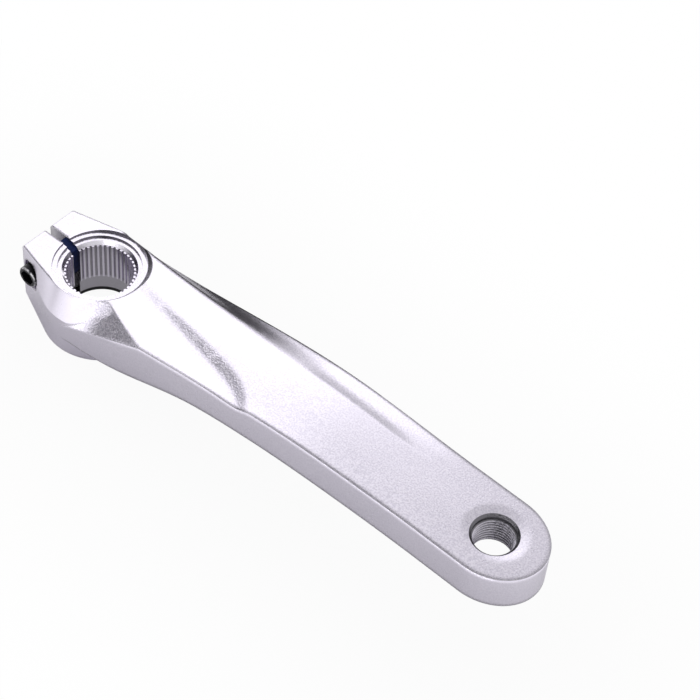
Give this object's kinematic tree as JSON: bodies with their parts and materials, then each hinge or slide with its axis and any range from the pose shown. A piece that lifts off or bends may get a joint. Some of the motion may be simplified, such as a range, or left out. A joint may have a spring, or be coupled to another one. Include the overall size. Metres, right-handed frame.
{
  "type": "bicycle crank arm",
  "caption": "Left bicycle crank arm with a splined pinch clamp for a hollow spindle, a stop plate in its slit, pinch bolts and a threaded pedal eye.",
  "frame": {"origin": "on the spindle axis, half way along the splines of the clamp", "axes": "+Z points outboard along the spindle and pedal axes, +X runs along the arm from the spindle to the pedal, +Y is the side the inner pinch bolt goes in from"},
  "size_m": [0.2138, 0.0412, 0.0387],
  "materials": {
    "silver": "polished and clear anodised",
    "bolt": "black oxide",
    "plate": "satin dark blue",
    "seal": "matte black"
  },
  "bodies": {
    "root": {"crank_arm": "silver", "pinch_bolt_outer": "bolt", "pinch_bolt_inner": "bolt", "stop_plate": "plate", "seal_ring": "seal"}
  },
  "joints": []
}
